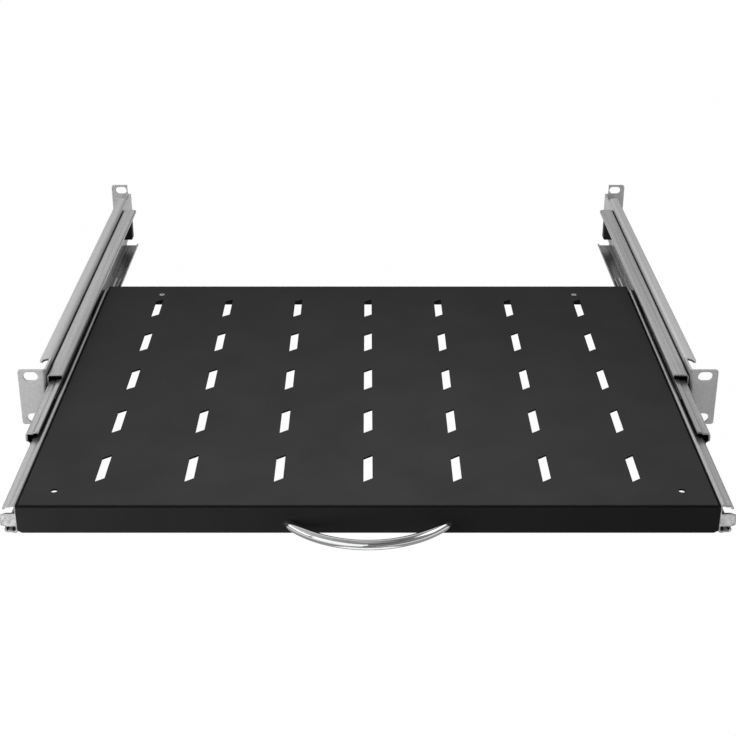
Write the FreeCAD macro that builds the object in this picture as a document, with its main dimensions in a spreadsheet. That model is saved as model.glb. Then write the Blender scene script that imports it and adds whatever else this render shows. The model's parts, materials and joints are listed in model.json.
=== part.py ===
# Sliding shelf for a 19-inch rack: a vented tray on two three-section ball-bearing slides.
#
# X runs to the right, Y to the rear and Z up, in millimetres. The origin is the centre of the front
# ears' bolt pattern, on the ears' rear face, where they meet the rack posts. Each right-hand piece is
# modelled with the tray pushed in, is placed at the tray's resting extension, and is mirrored for the
# left-hand side. Local x of a slide piece is zero at the front bracket's web and negative towards the tray.

import FreeCAD, Part
import os
import re
import Sketcher

# Driving dimensions, each with what it measures.
SIZES = {
    "tray_width": (417.2, "tray over its side flanges"),
    "shelf_depth": (350.0, "tray from front lip to rear flange, and the outer rails"),
    "tray_sheet": (1.2, "tray sheet"),
    "tray_bend": (0.8, "inside radius of the tray's folds"),
    "tray_rise": (9.65, "tray top above the slides' centre line"),
    "tray_proud": (1.5, "closed tray's lip ahead of the rack posts"),
    "lip_height": (18.3, "front lip and side flanges"),
    "rear_flange_lift": (2.3, "rear flange's edge above the lip's edge"),
    "lip_chamfer_wide": (2.6, "cut bottom corners of the front lip, across"),
    "lip_chamfer_high": (1.5, "cut bottom corners of the front lip, up"),
    "corner_slit": (0.6, "open seam between the lip and a side flange"),
    "seam_land": (1.0, "closed flat part of a corner above its seam"),
    "slot_columns": (7, "vent slots across"),
    "slot_rows": (5, "vent slots front to rear"),
    "slot_side_margin": (44.8, "outermost slot columns from the tray's sides"),
    "slot_end_margin": (46.6, "outermost slot rows from the lip and the rear flange"),
    "slot_width": (5.5, "vent slot across"),
    "slot_length": (30.0, "long side of a vent slot"),
    "slot_slant": (4.4, "step of a vent slot's slanted ends"),
    "front_hole_side": (19.8, "front holes from the tray's sides"),
    "front_hole_inset": (18.5, "front holes behind the lip"),
    "front_hole_diameter": (4.2, "front holes"),
    "tray_rivet_side": (45.0, "rear rivets from the tray's sides"),
    "tray_rivet_inset": (19.0, "rear rivets ahead of the rear flange"),
    "tray_rivet_diameter": (2.6, "rear rivets' shanks"),
    "tray_rivet_head_rim": (0.9, "rear rivets' flush heads past the shank"),
    "tray_rivet_tail_rim": (0.8, "rear rivets' closed ends past the shank"),
    "tray_rivet_tail_height": (1.0, "rear rivets' closed ends, high"),
    "handle_span": (92.8, "handle ends apart"),
    "handle_diameter": (6.0, "handle bar"),
    "handle_reach": (22.6, "middle of the handle bar ahead of the lip"),
    "handle_rise": (5.55, "handle above the lip's bottom edge"),
    "handle_wall": (1.4, "bar round the holes for its screws"),
    "handle_screw_inset": (0.6, "handle screws nearer the middle than the bar's ends"),
    "handle_screw_rim": (1.3, "handle screws' heads past the shank"),
    "handle_screw_head_height": (2.0, "handle screws' heads high"),
    "handle_screw_bite": (2.2, "handle screws into the bar"),
    "handle_bore_end": (0.4, "bore past the end of a handle screw"),
    "slide_space": (13.0, "slide thickness between tray and bracket"),
    "slide_drop": (1.0, "slides' centre line below the ears' centre"),
    "slide_height": (35.0, "outer rail"),
    "rail_bend": (0.6, "inside radius of the rails' folds"),
    "outer_sheet": (1.0, "outer rail sheet"),
    "outer_depth": (11.4, "outer rail from web to curled edge"),
    "outer_curl": (0.9, "straight end of the outer rail's curled edge"),
    "middle_sheet": (1.2, "middle rail sheet"),
    "middle_setback": (3.5, "closed middle rail behind the outer rail's front end"),
    "middle_bumper_gap": (2.5, "closed middle rail to the rear bumper"),
    "middle_curl": (0.2, "middle rail's turned edge past its sheet"),
    "curl_room": (0.8, "inner balls' centre to the middle rail's turned edge"),
    "web_gap": (0.25, "outer rail's web to middle rail's web"),
    "raceway_step": (0.8, "step between the two raceways of the middle rail, high"),
    "raceway_run": (1.0, "step between the two raceways of the middle rail, across"),
    "notch_length": (10.8, "pointed notch in the front end of the middle rail's web, long"),
    "notch_width": (14.8, "pointed notch, high at its open end"),
    "notch_round": (2.0, "pointed notch's rounded tip"),
    "window_length": (30.0, "openings in the middle rail's web, long"),
    "window_width": (8.0, "openings in the middle rail's web, high"),
    "window_count": (3, "openings in the middle rail's web"),
    "window_inset": (58.0, "outermost web openings from the middle rail's ends"),
    "inner_sheet": (1.2, "inner rail sheet"),
    "inner_edge_gap": (2.6, "inner rail's free edges to the middle rail's web"),
    "inner_bumper_gap": (2.0, "closed inner rail to the rear bumper"),
    "inner_curl": (0.6, "straight end of the inner rail's turned-down edge"),
    "shoulder_rise": (0.45, "inner rail's shoulder beside the tray above its raceway"),
    "shoulder_room": (1.5, "inner balls' centre to the foot of the shoulder"),
    "tab_reach": (10.0, "front stop tab, across from the tray"),
    "tab_top": (3.6, "front stop tab above the slides' centre line"),
    "tab_bottom": (5.3, "front stop tab below the slides' centre line"),
    "tab_corner_wide": (3.2, "cut corners of the front stop tab, across"),
    "tab_corner_high": (1.2, "cut corners of the front stop tab, up"),
    "ball_diameter": (3.2, "bearing balls"),
    "ball_gap": (0.15, "play of a ball between its two raceways, each side"),
    "ball_side_gap": (2.6, "outer balls to the outer rail's web"),
    "ball_row_offset": (2.7, "inner ball rows nearer the tray than outer ball rows"),
    "ball_count": (3, "balls in a row"),
    "cage_sheet": (0.8, "ball cage strip"),
    "cage_border": (0.3, "cage strip beside a ball pocket"),
    "cage_length": (144.0, "ball cage strip, long"),
    "cage_end": (6.0, "cage strip past its last ball"),
    "pocket_gap": (0.1, "play of a ball in its pocket"),
    "rest_extension": (163.5, "tray pulled out at rest"),
    "bumper_depth": (6.8, "rear bumper from the rail's web"),
    "bumper_height": (16.6, "rear bumper"),
    "bumper_length": (8.0, "rear bumper along the rail"),
    "bumper_round": (1.0, "rear bumper's edges"),
    "bracket_sheet": (1.5, "bracket sheet"),
    "bracket_bend": (1.5, "inside radius of the brackets' folds"),
    "bracket_height": (40.1, "front bracket's web"),
    "bracket_overhang": (22.0, "front bracket past the outer rail's rear end"),
    "flange_width": (7.6, "front bracket's flanges"),
    "flange_start": (15.0, "front end of the flanges behind the ear"),
    "flange_front": (0.6, "straight front end of a flange beside its relief"),
    "flange_corner": (1.2, "rounded corners of the flanges"),
    "ear_width": (19.7, "ear's outer edge from the web"),
    "ear_height": (41.6, "ears"),
    "ear_root": (0.5, "bracket's height kept past the ear's fold"),
    "ear_corner": (2.0, "rounded corners of the ears"),
    "ear_hole_inset": (8.75, "ear slots from the outer edge"),
    "ear_hole_rise": (31.75, "ear slots apart"),
    "ear_slot_length": (10.2, "ear slots across"),
    "ear_slot_width": (6.8, "ear slots high"),
    "rear_ear_reach": (60.0, "rear face of the rear ears behind the outer rails"),
    "rear_web_gap": (4.85, "rear bracket's web to the front bracket's folds"),
    "rear_web_margin": (10.0, "rear bracket's web ahead of the depth slot"),
    "adjust_travel": (30.0, "adjustment of the rear bracket each way"),
    "adjust_spare": (2.2, "depth slot past a bolt at the end of its travel"),
    "adjust_play": (0.3, "depth slot to a clamp bolt, each side"),
    "clamp_gap": (0.1, "play beside the rear bracket's web"),
    "flush_head_land": (0.3, "straight part of a hole under a flush head"),
    "fit_gap": (0.1, "play of a fastener in its hole"),
    "rivet_diameter": (3.2, "rail rivets"),
    "rivet_head_rim": (1.2, "rail rivets' flush heads past the shank"),
    "rivet_tail_rim": (1.4, "rail rivets' closed ends past the shank"),
    "rivet_tail_height": (1.2, "rail rivets' closed ends high"),
    "rivet_front": (35.0, "first rail rivet behind the outer rail's front end"),
    "rivet_bolt_gap": (105.0, "second rail rivet ahead of the first clamp bolt"),
    "bolt_diameter": (5.0, "clamp bolts"),
    "bolt_head_rim": (1.7, "clamp bolts' flush heads past the shank"),
    "bolt_inset": (20.0, "last clamp bolt ahead of the outer rail's rear end"),
    "bolt_pitch": (60.0, "clamp bolts apart"),
    "bolt_end": (1.0, "clamp bolt past its nut"),
    "nut_wall": (1.4, "clamp nuts' flats from the bore"),
    "nut_height": (2.8, "clamp nuts above their flange"),
    "nut_flange_rim": (1.75, "clamp nuts' flange past the flats"),
    "nut_flange_height": (1.2, "clamp nuts' flange"),
    "tray_screw_diameter": (4.0, "tray screws"),
    "tray_screw_rim": (1.75, "tray screws' heads past the shank"),
    "tray_screw_head_height": (2.4, "tray screws' heads high"),
    "tray_screw_end": (2.0, "tray screw past the rail's web"),
    "tray_screw_front": (60.0, "first tray screw behind the inner rail's front end"),
    "tray_screw_rear": (50.0, "last tray screw ahead of the inner rail's rear end"),
    "tray_screw_count": (3, "tray screws on a side"),
}

doc = FreeCAD.newDocument("SlidingRackShelf")
sheet = doc.addObject("Spreadsheet::Sheet", "Sizes")
for row, (name, (size, meaning)) in enumerate(SIZES.items(), start=1):
    sheet.set(f"A{row}", meaning)
    sheet.set(f"B{row}", str(size))
    sheet.setAlias(f"B{row}", name)
doc.recompute()

# Places that several pieces share, as expressions of the driving dimensions.
WEB = "(tray_width / 2 + slide_space)"
SLIDE_HALF = "(slide_height / 2)"
OUTER_BALL_RISE = f"({SLIDE_HALF} - outer_sheet - ball_gap - ball_diameter / 2)"
MIDDLE_FLOOR = f"({OUTER_BALL_RISE} - ball_diameter / 2 - ball_gap)"
MIDDLE_CREST = f"({MIDDLE_FLOOR} + raceway_step)"
INNER_BALL_RISE = f"({MIDDLE_CREST} - middle_sheet - ball_gap - ball_diameter / 2)"
INNER_HALF = f"({INNER_BALL_RISE} - ball_diameter / 2 - ball_gap)"
OUTER_BALL_IN = "(outer_sheet + ball_side_gap + ball_diameter / 2)"
INNER_BALL_IN = f"({OUTER_BALL_IN} + ball_row_offset)"
MIDDLE_WEB = "(outer_sheet + web_gap + middle_sheet)"
MIDDLE_LENGTH = "(shelf_depth - bumper_length - middle_bumper_gap - middle_setback)"
INNER_LENGTH = "(shelf_depth - bumper_length - inner_bumper_gap)"
BALL_PITCH = "((cage_length - 2 * cage_end) / (ball_count - 1))"
RIVET_HEAD = "(rivet_diameter + 2 * rivet_head_rim)"
BOLT_HEAD = "(bolt_diameter + 2 * bolt_head_rim)"
BOLT_FRONT = "(shelf_depth - bolt_inset - bolt_pitch)"
RIVET_PITCH = f"({BOLT_FRONT} - rivet_bolt_gap - rivet_front)"
REAR_WEB = "(bracket_sheet + clamp_gap)"
NUT_SEAT = f"({REAR_WEB} + bracket_sheet + clamp_gap)"
EAR_ROOT = "(bracket_sheet + bracket_bend + ear_root)"
TRAY_FLOOR = "(tray_rise - tray_sheet)"
TRAY_BOTTOM = "(tray_rise - lip_height)"
TRAY_REAR = "(shelf_depth - tray_proud)"
TRAY_SCREW_PITCH = f"(({INNER_LENGTH} - tray_screw_front - tray_screw_rear) / (tray_screw_count - 1))"
TRAY_RIVET_SPAN = "(tray_width - 2 * tray_rivet_side)"
HANDLE_HEIGHT = f"({TRAY_BOTTOM} + handle_rise)"
HANDLE_SCREW = "(handle_diameter - 2 * handle_wall - 2 * fit_gap)"
HANDLE_SCREW_SPAN = "(handle_span - 2 * handle_screw_inset)"

# Share of the tray's travel: balls roll half as far as the rail above them moves past the rail below.
MIDDLE_TRAVEL = "1 / 2"
OUTER_CAGE_TRAVEL = "1 / 4"
INNER_CAGE_TRAVEL = "3 / 4"

sub_parts = []


def bound(expression):
    """The expression with each size's name pointing at the spreadsheet."""
    return re.sub(r"\b[a-z][a-z_]+\b(?!\()", lambda word: f"Sizes.{word.group()}", expression)


def value(expression):
    """The expression's present value."""
    return float(sheet.evalExpression(bound(expression)))


def bind(target, name, expression):
    target.setExpression(name, bound(expression))


def new_body(label, x="0", y="0", z="0"):
    """An empty body with its own frame; it becomes the sub-part of that name."""
    body = doc.addObject("PartDesign::Body", label)
    body.Label = label
    for axis, place in zip("xyz", (x, y, z)):
        bind(body, f"Placement.Base.{axis}", place)
    sub_parts.append(body)
    return body


def origin_feature(body, role):
    for feature in body.Origin.OriginFeatures:
        if feature.Role == role:
            return feature
    raise ValueError(role)


def new_sketch(body, plane, x="0", y="0", lift="0"):
    """A sketch on an origin plane, with its own origin moved in the plane and along its normal."""
    sketch = body.newObject("Sketcher::SketchObject", f"{body.Label}_sketch")
    sketch.AttachmentSupport = (origin_feature(body, f"{plane}_Plane"), [""])
    sketch.MapMode = "FlatFace"
    for axis, place in zip("xyz", (x, y, lift)):
        bind(sketch, f"AttachmentOffset.Base.{axis}", place)
    return sketch


def constrain(sketch, kind, *items, size):
    number = sketch.addConstraint(Sketcher.Constraint(kind, *items, value(size)))
    bind(sketch, f"Constraints[{number}]", size)


def fix_point(sketch, curve, point, x, y):
    constrain(sketch, "DistanceX", -1, 1, curve, point, size=x)
    constrain(sketch, "DistanceY", -1, 1, curve, point, size=y)


def spot(x, y):
    return FreeCAD.Vector(value(x), value(y), 0)


def add_outline(sketch, corners):
    """A closed outline of straight lines through corners given as pairs of expressions."""
    spots = [spot(x, y) for x, y in corners]
    lines = [sketch.addGeometry(Part.LineSegment(a, b)) for a, b in zip(spots, spots[1:] + spots[:1])]
    for line, following in zip(lines, lines[1:] + lines[:1]):
        sketch.addConstraint(Sketcher.Constraint("Coincident", line, 2, following, 1))
    for line, (x, y) in zip(lines, corners):
        fix_point(sketch, line, 1, x, y)


def add_rectangle(sketch, left, right, bottom, top):
    add_outline(sketch, [(left, bottom), (right, bottom), (right, top), (left, top)])


def add_circle(sketch, x, y, diameter):
    radius = f"({diameter}) / 2"
    circle = sketch.addGeometry(Part.Circle(spot(x, y), FreeCAD.Vector(0, 0, 1), value(radius)))
    fix_point(sketch, circle, 3, x, y)
    constrain(sketch, "Radius", circle, size=radius)


def add_oblong(sketch, x, y, length, width):
    """A round-ended slot along the sketch's x axis, about its middle."""
    reach = f"(({length}) - ({width})) / 2"
    radius = f"({width}) / 2"
    middle = spot(x, y)
    run = FreeCAD.Vector(value(reach), 0, 0)
    bulge = FreeCAD.Vector(value(radius), 0, 0)
    rise = FreeCAD.Vector(0, value(radius), 0)
    right = sketch.addGeometry(Part.Arc(middle + run - rise, middle + run + bulge, middle + run + rise))
    top = sketch.addGeometry(Part.LineSegment(middle + run + rise, middle - run + rise))
    left = sketch.addGeometry(Part.Arc(middle - run + rise, middle - run - bulge, middle - run - rise))
    bottom = sketch.addGeometry(Part.LineSegment(middle - run - rise, middle + run - rise))
    for curve, following in ((right, top), (top, left), (left, bottom), (bottom, right)):
        sketch.addConstraint(Sketcher.Constraint("Tangent", curve, 2, following, 1))
    sketch.addConstraint(Sketcher.Constraint("Equal", right, left))
    fix_point(sketch, right, 3, f"({x}) + {reach}", y)
    fix_point(sketch, left, 3, f"({x}) - {reach}", y)
    constrain(sketch, "Radius", right, size=radius)


def pad(body, sketch, length, reverse=False, symmetric=False):
    feature = body.newObject("PartDesign::Pad", f"{body.Label}_pad")
    feature.Profile = sketch
    bind(feature, "Length", length)
    feature.Reversed = reverse
    feature.SideType = "Symmetric" if symmetric else "One side"
    doc.recompute()
    return feature


def checked_cut(body, feature, before):
    doc.recompute()
    if body.Shape.Volume > before * (1 - 1e-9):
        raise ValueError(f"{feature.Label} cuts nothing")
    return feature


def pocket(body, sketch, length=None, reverse=False, symmetric=False):
    """A cut of that depth, or through everything."""
    before = body.Shape.Volume
    feature = body.newObject("PartDesign::Pocket", f"{body.Label}_pocket")
    feature.Profile = sketch
    if length is None:
        feature.Type = "ThroughAll"
    else:
        bind(feature, "Length", length)
    feature.Reversed = reverse
    feature.SideType = "Symmetric" if symmetric else "One side"
    return checked_cut(body, feature, before)


def turn(body, sketch, axis):
    """A solid of revolution about one of its sketch's axes."""
    feature = body.newObject("PartDesign::Revolution", f"{body.Label}_turned")
    feature.Profile = sketch
    feature.ReferenceAxis = (sketch, [axis])
    doc.recompute()
    return feature


def turned_cut(body, sketch, axis):
    before = body.Shape.Volume
    feature = body.newObject("PartDesign::Groove", f"{body.Label}_groove")
    feature.Profile = sketch
    feature.ReferenceAxis = (sketch, [axis])
    return checked_cut(body, feature, before)


def repeat(body, features, axis, count, pitch, second=None):
    """Even copies of features along one axis, or along two: second is (axis, count, pitch)."""
    pattern = body.newObject("PartDesign::LinearPattern", f"{body.Label}_pattern")
    pattern.Originals = features
    pattern.Direction = (origin_feature(body, f"{axis}_Axis"), [""])
    pattern.Mode = "Spacing"
    bind(pattern, "Occurrences", count)
    bind(pattern, "Offset", pitch)
    if second:
        second_axis, second_count, second_pitch = second
        pattern.Direction2 = (origin_feature(body, f"{second_axis}_Axis"), [""])
        pattern.Mode2 = "Spacing"
        bind(pattern, "Occurrences2", second_count)
        bind(pattern, "Offset2", second_pitch)
        doc.recompute()
        pattern.Spacings2 = [-1.0] * (pattern.Occurrences2 - 1)
    body.Tip = pattern
    doc.recompute()
    return pattern


def edges_along(feature, axis, spots):
    """Names of the straight edges along an axis at places given by the two other coordinates."""
    others = [name for name in "xyz" if name != axis]
    wanted = [(value(a), value(b)) for a, b in spots]
    names = []
    for number, edge in enumerate(feature.Shape.Edges, start=1):
        start, end = edge.Vertexes[0].Point, edge.Vertexes[-1].Point
        place = [getattr(start, name) for name in others]
        if max(abs(getattr(end, name) - first) for name, first in zip(others, place)) > 1e-6:
            continue
        if any(abs(place[0] - a) < 1e-4 and abs(place[1] - b) < 1e-4 for a, b in wanted):
            names.append(f"Edge{number}")
    return names


def edges_at_height(feature, height):
    """Names of the edges that lie level at that height."""
    level = value(height)
    names = []
    for number, edge in enumerate(feature.Shape.Edges, start=1):
        if all(abs(vertex.Point.z - level) < 1e-4 for vertex in edge.Vertexes):
            names.append(f"Edge{number}")
    return names


def round_edges(body, feature, names, radius):
    if not names:
        raise ValueError(f"{body.Label} has no such edge to round")
    fillet = body.newObject("PartDesign::Fillet", f"{body.Label}_round")
    fillet.Base = (feature, names)
    bind(fillet, "Radius", radius)
    doc.recompute()
    return fillet


def mirrored_pair(places):
    """Each place with its mirror image above or below the middle."""
    return places + [(a, f"-({b})") for a, b in places]


def extrude_profile(body, corners, start, length):
    """A section drawn across Y, run to the rear from start."""
    sketch = new_sketch(body, "XZ", lift=f"-({start})")
    add_outline(sketch, corners)
    return pad(body, sketch, length, reverse=True)


def add_ear(body, front, reach):
    """The upright plate that bolts to a rack post, with its two level slots; front is its front face."""
    plate = new_sketch(body, "XZ", lift=f"-({front})")
    add_rectangle(plate, EAR_ROOT, reach, "-ear_height / 2", "ear_height / 2")
    feature = pad(body, plate, "bracket_sheet", reverse=True)
    corners = edges_along(feature, "y", mirrored_pair([(reach, "ear_height / 2")]))
    feature = round_edges(body, feature, corners, "ear_corner")
    holes = new_sketch(body, "XZ", lift=f"-({front})")
    for rise in ("ear_hole_rise / 2", "-ear_hole_rise / 2"):
        add_oblong(holes, f"{reach} - ear_hole_inset", rise, "ear_slot_length", "ear_slot_width")
    return pocket(body, holes, "bracket_sheet")


def bend_corner(body, feature, outside, inside):
    """Rounds both sides of an upright fold of bracket sheet."""
    outer_edge = edges_along(feature, "z", [outside])
    feature = round_edges(body, feature, outer_edge, "bracket_bend + bracket_sheet")
    return round_edges(body, feature, edges_along(feature, "z", [inside]), "bracket_bend")


def web_holes(body, front, pitch, diameter):
    """Two round holes across a right-hand web at the slides' centre line."""
    sketch = new_sketch(body, "YZ")
    for place in (front, f"{front} + {pitch}"):
        add_circle(sketch, place, "-slide_drop", f"{diameter} + 2 * fit_gap")
    return pocket(body, sketch, "bracket_sheet", reverse=True)


def make_front_bracket():
    """Long bracket: web, two outward flanges with a round relief at their front ends, and the front ear."""
    body = new_body("right_front_bracket", x=WEB)
    half = "bracket_height / 2"
    inside = "(bracket_height / 2 - bracket_sheet)"
    section = [("0", f"-{half}"), ("flange_width", f"-{half}"), ("flange_width", f"-{inside}"),
               ("bracket_sheet", f"-{inside}"), ("bracket_sheet", inside), ("flange_width", inside),
               ("flange_width", half), ("0", half)]
    length = "(shelf_depth + bracket_overhang)"
    feature = extrude_profile(body, section, "flange_start", f"{length} - flange_start")
    outside_folds = edges_along(feature, "y", mirrored_pair([("0", half)]))
    feature = round_edges(body, feature, outside_folds, "bracket_bend + bracket_sheet")
    inside_folds = edges_along(feature, "y", mirrored_pair([("bracket_sheet", inside)]))
    round_edges(body, feature, inside_folds, "bracket_bend")

    relief = "(flange_width - bracket_sheet - flange_corner - flange_front)"
    cutter = new_sketch(body, "XY")
    add_circle(cutter, "bracket_sheet", "flange_start", f"2 * {relief}")
    feature = pocket(body, cutter, symmetric=True)
    corners = edges_along(feature, "z", [("flange_width", "flange_start"), ("flange_width", length)])
    round_edges(body, feature, corners, "flange_corner")

    web_front = f"flange_start + {relief}"
    fold = new_sketch(body, "XY")
    add_outline(fold, [("0", "-bracket_sheet"), (EAR_ROOT, "-bracket_sheet"), (EAR_ROOT, "0"),
                       ("bracket_sheet", "0"), ("bracket_sheet", web_front), ("0", web_front)])
    feature = pad(body, fold, "ear_height", symmetric=True)
    bend_corner(body, feature, ("0", "-bracket_sheet"), ("bracket_sheet", "0"))
    add_ear(body, "-bracket_sheet", "ear_width")
    web_holes(body, "rivet_front", RIVET_PITCH, "rivet_diameter")
    web_holes(body, BOLT_FRONT, "bolt_pitch", "bolt_diameter")


def make_rear_bracket():
    """Short bracket outside the front one: a web with the depth slot, and the rear ear."""
    body = new_body("right_rear_bracket", x=f"{WEB} + {REAR_WEB}")
    ear_back = "(shelf_depth + rear_ear_reach)"
    ear_front = f"({ear_back} - bracket_sheet)"
    reach = f"(ear_width - {REAR_WEB})"
    slot_width = "(bolt_diameter + 2 * adjust_play)"
    slot_length = f"(bolt_pitch + 2 * (adjust_travel + adjust_spare) + {slot_width})"
    slot_middle = f"({BOLT_FRONT} + bolt_pitch / 2)"
    web_start = f"({slot_middle} - {slot_length} / 2 - rear_web_margin)"
    fold = new_sketch(body, "XY")
    add_outline(fold, [("0", web_start), ("bracket_sheet", web_start), ("bracket_sheet", ear_front),
                       (EAR_ROOT, ear_front), (EAR_ROOT, ear_back), ("0", ear_back)])
    height = "bracket_height - 2 * (bracket_sheet + bracket_bend + rear_web_gap)"
    feature = pad(body, fold, height, symmetric=True)
    bend_corner(body, feature, ("0", ear_back), ("bracket_sheet", ear_front))
    add_ear(body, ear_front, reach)
    slot = new_sketch(body, "YZ")
    add_oblong(slot, slot_middle, "-slide_drop", slot_length, slot_width)
    pocket(body, slot, "bracket_sheet", reverse=True)


def slide_body(label, travel="0"):
    """A right-hand slide piece that has moved by that share of the tray's extension."""
    return new_body(f"right_{label}", x=WEB, y=f"-rest_extension * ({travel})", z="-slide_drop")


def flush_head(sketch, head, shank, end, tail=None, tail_height="0", play="0"):
    """Half section of a flush-headed fastener whose head lies in the outer rail's web."""
    face = "-outer_sheet"
    cone_end = "-flush_head_land"
    outline = [(face, "0"), (face, f"{head} / 2 + {play}"), (cone_end, f"{shank} / 2 + {play}"),
               (end, f"{shank} / 2 + {play}")]
    if tail:
        tail_end = f"{end} + {tail_height}"
        outline += [(end, f"{tail} / 2"), (tail_end, f"{tail} / 2"), (tail_end, "0")]
    else:
        outline += [(end, "0")]
    add_outline(sketch, outline)


def make_outer_rail():
    """Fixed channel with curled edges; its web has seats for the flush rivets and clamp bolts."""
    body = slide_body("outer_rail")
    half, floor = SLIDE_HALF, f"({SLIDE_HALF} - outer_sheet)"
    curl_end = f"({floor} - rail_bend - outer_curl)"
    curl_in = "-(outer_depth - outer_sheet)"
    upper = [("-outer_sheet", floor), (curl_in, floor), (curl_in, curl_end), ("-outer_depth", curl_end),
             ("-outer_depth", half), ("0", half)]
    lower = [(x, f"-{z}") for x, z in reversed(upper)]
    feature = extrude_profile(body, upper + lower, "0", "shelf_depth")
    outside_folds = edges_along(feature, "y", mirrored_pair([("0", half), ("-outer_depth", half)]))
    feature = round_edges(body, feature, outside_folds, "rail_bend + outer_sheet")
    inside_folds = edges_along(feature, "y", mirrored_pair([("-outer_sheet", floor), (curl_in, floor)]))
    round_edges(body, feature, inside_folds, "rail_bend")
    for front, pitch, head, shank in (("rivet_front", RIVET_PITCH, RIVET_HEAD, "rivet_diameter"),
                                      (BOLT_FRONT, "bolt_pitch", BOLT_HEAD, "bolt_diameter")):
        seat = new_sketch(body, "XY", y=front)
        flush_head(seat, head, shank, "0", play="fit_gap")
        cut = turned_cut(body, seat, "H_Axis")
        repeat(body, [cut], "Y", "2", pitch)


def make_middle_rail():
    """Channel whose flanges step between an outer raceway near its web and an inner one near the tray."""
    body = slide_body("middle_rail", MIDDLE_TRAVEL)
    web_out = "-(outer_sheet + web_gap)"
    web_in = f"-{MIDDLE_WEB}"
    step_middle = f"({OUTER_BALL_IN} + ball_row_offset / 2)"
    step_out = f"-({step_middle} - raceway_run / 2)"
    step_in = f"-({step_middle} + raceway_run / 2)"
    curl_face = f"-({INNER_BALL_IN} + curl_room)"
    curl_back = f"-({INNER_BALL_IN} + curl_room + middle_sheet)"
    floor, crest = MIDDLE_FLOOR, MIDDLE_CREST
    floor_under, crest_under = f"({floor} - middle_sheet)", f"({crest} - middle_sheet)"
    curl_end = f"({crest_under} - middle_curl)"
    upper = [(web_in, floor_under), (step_out, floor_under), (step_in, crest_under),
             (curl_face, crest_under), (curl_face, curl_end), (curl_back, curl_end), (curl_back, crest),
             (step_in, crest), (step_out, floor), (web_out, floor)]
    lower = [(x, f"-{z}") for x, z in reversed(upper)]
    feature = extrude_profile(body, upper + lower, "middle_setback", MIDDLE_LENGTH)
    outside_folds = edges_along(feature, "y", mirrored_pair([(web_out, floor)]))
    feature = round_edges(body, feature, outside_folds, "rail_bend + middle_sheet")
    inside_folds = edges_along(feature, "y", mirrored_pair([(web_in, floor_under)]))
    feature = round_edges(body, feature, inside_folds, "rail_bend")
    free_edges = edges_along(feature, "y", mirrored_pair([(curl_back, crest)]))
    round_edges(body, feature, free_edges, "middle_sheet / 2")
    notch = new_sketch(body, "YZ", lift=web_in)
    notch_end = "middle_setback + notch_length"
    add_outline(notch, [("middle_setback", "-notch_width / 2"), (notch_end, "0"),
                        ("middle_setback", "notch_width / 2")])
    feature = pocket(body, notch, "middle_sheet", reverse=True)
    round_edges(body, feature, edges_along(feature, "x", [(notch_end, "0")]), "notch_round")
    window = new_sketch(body, "YZ", lift=web_in)
    add_oblong(window, "middle_setback + window_inset", "0", "window_length", "window_width")
    cut = pocket(body, window, "middle_sheet", reverse=True)
    pitch = f"({MIDDLE_LENGTH} - 2 * window_inset) / (window_count - 1)"
    repeat(body, [cut], "Y", "window_count", pitch)


def make_inner_rail():
    """Channel that opens away from the tray: raceways below a shoulder, and a stop tab across its front."""
    body = slide_body("inner_rail", "1")
    half, floor = INNER_HALF, f"({INNER_HALF} - inner_sheet)"
    shoulder, shoulder_under = f"({half} + shoulder_rise)", f"({floor} + shoulder_rise)"
    back = "-slide_space"
    web_face = "-(slide_space - inner_sheet)"
    foot = f"-({INNER_BALL_IN} + shoulder_room)"
    brow = f"-({INNER_BALL_IN} + shoulder_room + raceway_run)"
    edge = f"-({MIDDLE_WEB} + inner_edge_gap)"
    edge_in = f"-({MIDDLE_WEB} + inner_edge_gap + inner_sheet)"
    edge_end = f"({floor} - rail_bend - inner_curl)"
    upper = [(web_face, shoulder_under), (brow, shoulder_under), (foot, floor), (edge_in, floor),
             (edge_in, edge_end), (edge, edge_end), (edge, half), (foot, half), (brow, shoulder),
             (back, shoulder)]
    lower = [(x, f"-{z}") for x, z in reversed(upper)]
    feature = extrude_profile(body, upper + lower, "0", INNER_LENGTH)
    outside_folds = edges_along(feature, "y", mirrored_pair([(back, shoulder), (edge, half)]))
    feature = round_edges(body, feature, outside_folds, "rail_bend + inner_sheet")
    inside_folds = edges_along(feature, "y", mirrored_pair([(web_face, shoulder_under), (edge_in, floor)]))
    round_edges(body, feature, inside_folds, "rail_bend")

    tip = "-(slide_space - tab_reach)"
    cut = f"({tip} - tab_corner_wide)"
    tab = [(back, "-tab_bottom"), (cut, "-tab_bottom"), (tip, "tab_corner_high - tab_bottom"),
           (tip, "tab_top - tab_corner_high"), (cut, "tab_top"), (back, "tab_top")]
    extrude_profile(body, tab, "0", "inner_sheet")
    hole = new_sketch(body, "YZ", lift=back)
    add_circle(hole, "tray_screw_front", "0", "tray_screw_diameter + 2 * fit_gap")
    cut = pocket(body, hole, "inner_sheet", reverse=True)
    repeat(body, [cut], "Y", "tray_screw_count", TRAY_SCREW_PITCH)


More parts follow.
